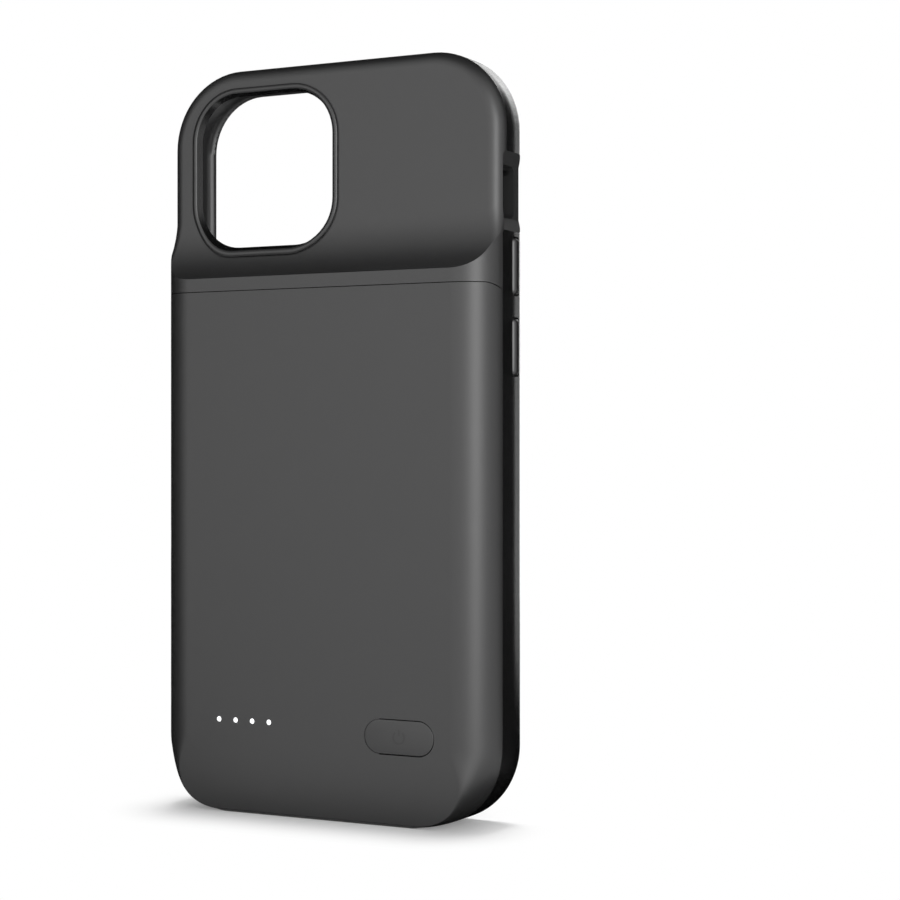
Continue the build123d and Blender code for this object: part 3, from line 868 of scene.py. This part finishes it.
# %% The sign
SIGN_RADIUS, SIGN_LINE, BAR_LENGTH, BAR_RISE = 1.12 * MM, 0.34 * MM, 1.2 * MM, 0.85 * MM
SIGN_TOP, SIGN_ROOT = BUTTON_FACE - 0.012 * MM, BUTTON_FACE + 0.02 * MM
RING_FROM, RING_SWEEP = 130.0, 280.0
sign = swept_strip(
    "power_sign", BUTTON, SIGN_RADIUS, SIGN_LINE, SIGN_TOP, SIGN_ROOT, RING_FROM, RING_SWEEP, 40
)
bar_middle = BUTTON.x, (SIGN_TOP + SIGN_ROOT) / 2, BUTTON.z + BAR_RISE
bar = block("sign_bar", bar_middle, (SIGN_LINE, SIGN_ROOT - SIGN_TOP, BAR_LENGTH))
edit(bar, "EDGE")
choose(bar, lambda edge: spans(edge, Y, 0.01 * MM))
bpy.ops.mesh.bevel(offset=0.1 * MM, segments=3, affect="EDGES")
dress(join([sign, bar]), mark_print, "status_button")

# %% The filled end of the slit
SLIT, WEB_WIDTH, WEB_TOP, WEB_ROOT = 0.15 * MM, 0.14 * MM, BACK + 0.02 * MM, BACK + 0.5 * MM
left_end = BUTTON - Vector(((BUTTON_LENGTH - BUTTON_HEIGHT) / 2, 0.0, 0.0))
web = swept_strip(
    "slit_web", left_end, (BUTTON_HEIGHT + SLIT) / 2, WEB_WIDTH, WEB_TOP, WEB_ROOT, 90.0, 180.0, 32
)
dress(web, cover_skin)

# %% [markdown]
# ## The keys
# Each key is a rounded bar that stands a little proud of the wall, on a flange that stays inside. The solids
# have plain edges, and a bevel on their triangles would be ragged. So a key is modelled from a cube: corners
# rounded, the outer edge softened, the inner face widened into the flange. The three differ only in length
# and place: the second volume key is a copy, and the side key is mirrored.

# %% One key
KEY_IN, KEY_SHOULDER, KEY_OUT = 32.725 * MM, 33.275 * MM, 35.7 * MM
KEY_Y, KEY_HEIGHT, KEY_CORNER, KEY_EDGE, KEY_FLANGE = 4.2 * MM, 2.6 * MM, 0.9 * MM, 1.0 * MM, 1.2 * MM


def wall_key(name, length):
    """A key for the +X wall, about height zero."""
    middle = (KEY_SHOULDER + KEY_OUT) / 2, KEY_Y, 0.0
    key = block(name, middle, (KEY_OUT - KEY_SHOULDER, KEY_HEIGHT, length))
    edit(key, "EDGE")
    choose(key, lambda edge: spans(edge, X, MM))
    bpy.ops.mesh.bevel(offset=KEY_CORNER, segments=6, affect="EDGES")
    round_end(key, X, KEY_OUT, KEY_EDGE, 6)
    wider = 1.0, 1 + KEY_FLANGE / KEY_HEIGHT, 1 + KEY_FLANGE / length
    grow_step(key, X, KEY_SHOULDER, wider, KEY_IN - KEY_SHOULDER)
    let_go()
    return key


# %% The three keys
VOLUME_LENGTH, SIDE_LENGTH = 10.4 * MM, 17.0 * MM
VOLUME_UP_Z, VOLUME_DOWN_Z, SIDE_Z = 100.7 * MM, 86.2 * MM, 92.9 * MM
volume_up = wall_key("volume_up_bar", VOLUME_LENGTH)
volume_down = copy_of(volume_up, "volume_down_bar", (0.0, 0.0, VOLUME_DOWN_Z))
volume_up.location.z = VOLUME_UP_Z
side_bar = wall_key("side_bar", SIDE_LENGTH)
side_bar.location.z = SIDE_Z
side_bar.scale.x = -1.0
for key, node in ((volume_up, "volume_up_key"), (volume_down, "volume_down_key"), (side_bar, "side_key")):
    settle(key, key.name)
    dress(key, key_skin, node, node)

# %% [markdown]
# ## The light pipe
# Behind the cover one clear bar carries the light of four small lamps to four dots. A dot is a peg with a
# domed end. Four spheres in the cover would look alike from outside, but the pegs belong to the bar. So the
# peg is modelled once and copied along the row, and all of it is joined into one moulding.

# %% Bar, rib and pegs
LIGHT, LIGHT_PITCH, LIGHT_COUNT, PEG = Vector((-20.85, 0.0, 17.3)) * MM, 3.66 * MM, 4, 1.0 * MM
BAR_SIZE, RIB_SIZE = (13.78 * MM, 2.8 * MM), (12.38 * MM, 1.2 * MM)
BAR_BACK, BAR_FRONT, RIB_FRONT = -6.27 * MM, -5.57 * MM, -4.6 * MM
PEG_TOP, PEG_ROOT, PEG_EDGE = BACK + 0.02 * MM, BAR_BACK + 0.1 * MM, 0.22 * MM
row_middle = LIGHT + Vector(((LIGHT_COUNT - 1) / 2 * LIGHT_PITCH, 0.0, 0.0))
light_bar = stadium_block("light_bar", row_middle, *BAR_SIZE, BAR_BACK, BAR_FRONT)
rib = RIB_SIZE[0] / BAR_SIZE[0], 1.0, RIB_SIZE[1] / BAR_SIZE[1]
grow_step(light_bar, Y, BAR_FRONT, rib, RIB_FRONT - BAR_FRONT)
peg = stadium_block("peg", LIGHT, PEG, PEG, PEG_TOP, PEG_ROOT, 32)
round_end(peg, Y, PEG_TOP, PEG_EDGE, 4)
let_go()
twins = [copy_of(peg, "peg", (number * LIGHT_PITCH, 0.0, 0.0)) for number in range(1, LIGHT_COUNT)]
dress(join([light_bar, peg, *twins]), light_glow, "case", "light_pipe")

# %% [markdown]
# ## Contacts on the socket's tongue
# The tongue in the charging socket carries a row of thin gold pads on each side. A striped material would
# show them too, but not their edges. One pad is a flat cube with its edges broken, and the others are copies
# in two rows, joined.

# %% Gold pads
PAD_SIZE, PAD_EDGE, PAD_Z = Vector((0.28, 0.05, 3.6)) * MM, 0.015 * MM, 4.3 * MM
PAD_COUNT, PAD_PITCH = 12, 0.5 * MM
TONGUE_Y, TONGUE_HALF = -3.6 * MM, 0.35 * MM
pad = block("pad", (0.0, 0.0, PAD_Z), PAD_SIZE)
edit(pad, "EDGE")
choose(pad, lambda edge: not spans(edge, X, 0.01 * MM))
bpy.ops.mesh.bevel(offset=PAD_EDGE, segments=2, affect="EDGES")
let_go()
pads = []
for side in (-1, 1):
    for number in range(PAD_COUNT):
        across = (number - (PAD_COUNT - 1) / 2) * PAD_PITCH
        pads.append(copy_of(pad, "pad", (across, TONGUE_Y + side * TONGUE_HALF, 0.0)))
bpy.data.objects.remove(pad)
tongue_pads = settle(join(pads), "tongue_pads")
dress(tongue_pads, gold_plate)

# %% [markdown]
# ## Dress the nodes that stay
# The other solids already have the right shape, so modelling them again would add nothing. They keep their
# nodes and only take a finish, which goes into each node's own material slots.

# %% Finishes for the carried-over nodes
finishes = {
    tray_skin: ("inner_tray",),
    socket_skin: ("plug_base", "charge_port_tongue", "switch_plunger"),
    foam_skin: ("cell_foam_pad",),
    resin_skin: ("charge_controller", "boost_converter"),
    ferrite_skin: ("power_inductor",),
    fired_skin: ("ceramic_capacitors",),
    nickel_plate: (
        "charge_port_shell", "phone_plug", "cell_tab_positive", "cell_tab_negative", "switch_body",
        "board_screws",
    ),
    gold_plate: ("plug_contacts",),
    cell_foil: ("battery_cell",),
    board_lacquer: ("main_board", "protection_board"),
    amber_film: ("plug_ribbon",),
    lamp_cap: ("indicator_leds",),
}
for material, nodes in finishes.items():
    for node in nodes:
        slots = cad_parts[node].material_slots
        for material_slot in slots:
            material_slot.material = material
        if not slots:
            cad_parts[node].data.materials.append(material)
print("dressed", sum(len(nodes) for nodes in finishes.values()), "nodes")

# %% [markdown]
# ## The white floor and room
# The picture is a plain studio one: white all round, with a soft shadow where the case stands. White could
# come from strong lamps, but they would wash out the case. So the floor and the world are white by their own
# colour for rays that look or mirror, and dim for rays that carry light. Close to the case the floor is plain
# paper, which keeps the shadow.

# %% Rays, distances and mixed shaders
FOOT_HALF = {"X": 0.024, "Y": 0.004}


def looking_rays(tree):
    """1 for rays that look, mirror or pass through, 0 for rays that carry light."""
    rays = tree.nodes.new("ShaderNodeLightPath").outputs
    seen = arithmetic(tree, "ADD", rays["Is Camera Ray"], rays["Is Glossy Ray"])
    through = arithmetic(tree, "ADD", seen, rays["Is Transmission Ray"])
    return arithmetic(tree, "MINIMUM", through, 1.0)


def away_from_foot(tree):
    """The distance of a place on the floor from the case's foot."""
    split = add(tree, "ShaderNodeSeparateXYZ", Vector=object_place(tree)).outputs
    squares = []
    for axis, half in FOOT_HALF.items():
        reach = arithmetic(tree, "SUBTRACT", arithmetic(tree, "ABSOLUTE", split[axis]), half)
        squares.append(arithmetic(tree, "POWER", arithmetic(tree, "MAXIMUM", reach, 0.0), 2.0))
    return arithmetic(tree, "SQRT", arithmetic(tree, "ADD", *squares))


def mix_shaders(tree, share, first, second, output):
    mix = tree.nodes.new("ShaderNodeMixShader")
    for socket, value in zip(mix.inputs, (share, first, second)):
        feed(tree, value, socket)
    feed(tree, mix.outputs["Shader"], output.inputs["Surface"])


# %% White paper
FLOOR_GLOW, GLOW_FROM, GLOW_TO = 0.2, 0.002, 0.022


def white_paper():
    material, tree, shader = new_material("white_paper")
    shader.inputs["Base Color"].default_value = (0.9, 0.9, 0.9, 1.0)
    shader.inputs["Roughness"].default_value = 0.9
    shader.inputs["Specular IOR Level"].default_value = 0.0
    far = add(
        tree, "ShaderNodeMapRange", Value=away_from_foot(tree), From_Min=GLOW_FROM, From_Max=GLOW_TO,
        To_Min=FLOOR_GLOW, To_Max=1.0,
    )
    far.interpolation_type = "SMOOTHSTEP"
    glow = add(tree, "ShaderNodeEmission", Strength=1.0)
    share = arithmetic(tree, "MULTIPLY", looking_rays(tree), far.outputs["Result"])
    output = tree.nodes["Material Output"]
    mix_shaders(tree, share, shader.outputs["BSDF"], glow.outputs["Emission"], output)
    return material


# %% The floor
FLOOR_SIZE = 6.0
let_go()
bpy.ops.mesh.primitive_plane_add(size=FLOOR_SIZE)
floor = bpy.context.object
floor.name = "floor"
floor.data.materials.append(white_paper())
print("floor", floor.dimensions[:2])

# %% The world
ROOM_LIGHT, WHITE = 0.15, (1.0, 1.0, 1.0, 1.0)
world = bpy.data.worlds.new("studio")
bpy.context.scene.world = world
world.use_nodes = True
tree = world.node_tree
tree.nodes.clear()
room, bright = (
    add(tree, "ShaderNodeBackground", Color=WHITE, Strength=strength).outputs["Background"]
    for strength in (ROOM_LIGHT, 1.0)
)
mix_shaders(tree, looking_rays(tree), room, bright, tree.nodes.new("ShaderNodeOutputWorld"))
print("room light", ROOM_LIGHT)

# %% [markdown]
# ## Soft lamps
# Broad light comes from the front right, which draws the bright band down the case's rolled side. Weaker
# lamps fill the flat back, the left and the pocket side. A sun or a spot would draw hard lines on the rolled
# edges, so every lamp is a large area. The last one shines from above on the floor alone, for the shadow.

# %% A soft lamp
CASE_MIDDLE = Vector((0.0, 0.0, 0.07))


def around(azimuth, elevation, distance):
    a, e = math.radians(azimuth), math.radians(elevation)
    return CASE_MIDDLE + distance * Vector(
        (math.sin(a) * math.cos(e), -math.cos(a) * math.cos(e), math.sin(e))
    )


def soft_lamp(name, azimuth, elevation, distance, width, height, radiance):
    lamp = bpy.data.lights.new(name, "AREA")
    lamp.shape = "RECTANGLE"
    lamp.size = width
    lamp.size_y = height
    lamp.energy = radiance * math.pi * width * height
    holder = bpy.data.objects.new(name, lamp)
    holder.location = around(azimuth, elevation, distance)
    holder.rotation_euler = (CASE_MIDDLE - holder.location).to_track_quat("-Z", "Y").to_euler()
    holder.visible_camera = False
    bpy.context.scene.collection.objects.link(holder)
    return holder


# %% The lamps
# Name, azimuth and elevation in degrees, then distance, width and height in metres, and radiance
LAMPS = (
    ("key_lamp", 50.0, 4.0, 0.5, 0.22, 0.45, 6.8),
    ("fill_lamp", 20.0, 6.0, 0.5, 0.26, 0.45, 0.8),
    ("front_lamp", -20.0, 10.0, 0.5, 0.45, 0.45, 0.75),
    ("rear_lamp", 188.0, 12.0, 0.5, 0.2, 0.4, 2.0),
    ("floor_lamp", 190.0, 80.0, 0.9, 0.3, 0.3, 26.0),
)
lamps = {name: soft_lamp(name, *values) for name, *values in LAMPS}
floor_only = bpy.data.collections.new("floor_only")
floor_only.objects.link(floor)
lamps["floor_lamp"].light_linking.receiver_collection = floor_only
print("lamps", ", ".join(lamps))

# %% [markdown]
# ## Black cards
# In a white room the turned-away edges would mirror white. A studio sets black cards beside the object. Here
# they are a dark tent round the case, open at the front and the back, a card on the floor with the same
# openings, and a small card under the foot, which is painted shade: in the lower edge's reflection it stands
# in for the floor that the case's shadow darkens. Only reflections see them, so they take no light from the
# room.

# %% Openings, and cards that only reflections see
FRONT_OPENING, FRONT_TOP, BACK_OPENING, BACK_TOP = (-56.0, 116.0), 62.0, 168.0, 34.0
card_black, _, shader = new_material("card_black")
shader.inputs["Base Color"].default_value = (0.0, 0.0, 0.0, 1.0)
shader.inputs["Specular IOR Level"].default_value = 0.0


def in_opening(face):
    side = face.calc_center_median()
    azimuth = math.degrees(math.atan2(side.x, -side.y))
    elevation = math.degrees(math.atan2(side.z, math.hypot(side.x, side.y)))
    front = FRONT_OPENING[0] < azimuth < FRONT_OPENING[1] and elevation < FRONT_TOP
    return front or (abs(azimuth) > BACK_OPENING and elevation < BACK_TOP)


def cut_openings(card):
    edit(card, "FACE")
    count = choose(card, in_opening, "faces")
    bpy.ops.mesh.delete(type="FACE")
    return count


def only_mirrored(card, name):
    settle(card, name)
    card.data.materials.append(card_black)
    for flag in ("visible_camera", "visible_diffuse", "visible_shadow", "visible_transmission"):
        setattr(card, flag, False)


# %% The dark tent
TENT_RADIUS, TENT_SEGMENTS = 0.62, 72
let_go()
bpy.ops.mesh.primitive_uv_sphere_add(
    segments=TENT_SEGMENTS, ring_count=TENT_SEGMENTS // 2, radius=TENT_RADIUS, location=CASE_MIDDLE
)
tent = bpy.context.object
print("tent openings", cut_openings(tent), "faces")
only_mirrored(tent, "dark_tent")

# %% The dark cards on the floor
CARD_RADIUS, CARD_Z = 0.6, 0.0006
FOOT_SHADE_CARD, FOOT_SHADE_CARD_Z = (0.096, 0.044, 1.0), 0.0005
let_go()
bpy.ops.mesh.primitive_circle_add(
    vertices=TENT_SEGMENTS, radius=CARD_RADIUS, fill_type="TRIFAN", location=(0.0, 0.0, CARD_Z)
)
floor_card = bpy.context.object
print("card openings", cut_openings(floor_card), "faces")
only_mirrored(floor_card, "dark_floor_card")

# Painted shade in reflections: this card darkens the floor that the lower edge mirrors, as the shadow would.
let_go()
bpy.ops.mesh.primitive_plane_add(size=1.0, location=(0.0, 0.0, FOOT_SHADE_CARD_Z))
foot_shade_card = bpy.context.object
foot_shade_card.scale = FOOT_SHADE_CARD
only_mirrored(foot_shade_card, "painted_shade_card")

# %% [markdown]
# ## The camera
# The camera stands where the photograph's did: its turn, place and lens were fitted to the case's outline
# there. It could be aimed at the case by a constraint, but plain numbers keep the upright lines upright.

# %% The camera, at the photograph's angle
CAMERA_TURN, CAMERA_PLACE = math.radians(27.518), Vector((199.592, -336.906, 67.857)) * MM
PIXEL_FOCUS, PICTURE, PIXELS_DOWN = 2103.3, 900.0, 1.0
camera = bpy.data.cameras.new("camera")
camera.sensor_width = 36.0
camera.lens = camera.sensor_width * PIXEL_FOCUS / PICTURE
camera.shift_y = -PIXELS_DOWN / PICTURE
camera_stand = bpy.data.objects.new("camera", camera)
camera_stand.location = CAMERA_PLACE
camera_stand.rotation_euler = (math.radians(90), 0.0, CAMERA_TURN)
bpy.context.scene.collection.objects.link(camera_stand)
bpy.context.scene.camera = camera_stand
bpy.context.scene.view_settings.view_transform = "Standard"
print("lens", round(camera.lens, 2), "mm")
